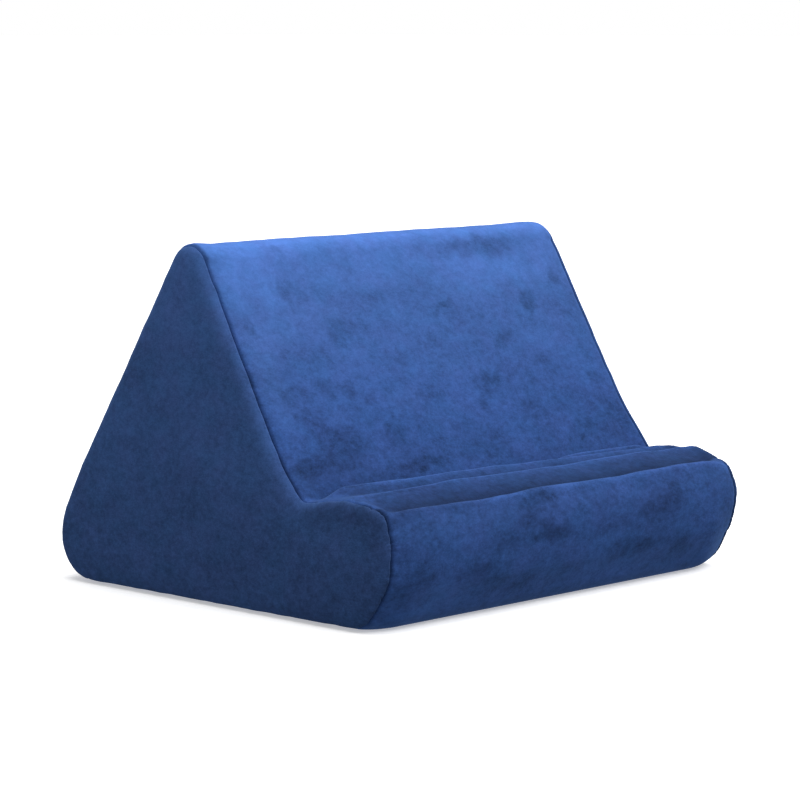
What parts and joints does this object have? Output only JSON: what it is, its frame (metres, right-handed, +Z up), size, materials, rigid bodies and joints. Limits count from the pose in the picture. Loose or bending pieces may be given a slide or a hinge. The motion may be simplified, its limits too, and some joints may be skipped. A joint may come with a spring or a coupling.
{
  "type": "tablet pillow stand",
  "caption": "Wedge-shaped stuffed cushion with a reclined rest and a ledge behind a rolled front lip, which holds up a tablet or book.",
  "frame": {"origin": "on the floor, under the middle of the object's bounding box", "axes": "+X along the width, to the right of someone facing the rest; +Y from the front lip towards the back; +Z up"},
  "size_m": [0.2854, 0.2517, 0.184],
  "materials": {
    "velour": "royal blue velour with a short brushed pile, soft sheen"
  },
  "bodies": {
    "root": {"wrap_cushion": "velour", "side_panel_left": "velour", "side_panel_right": "velour"}
  },
  "joints": []
}
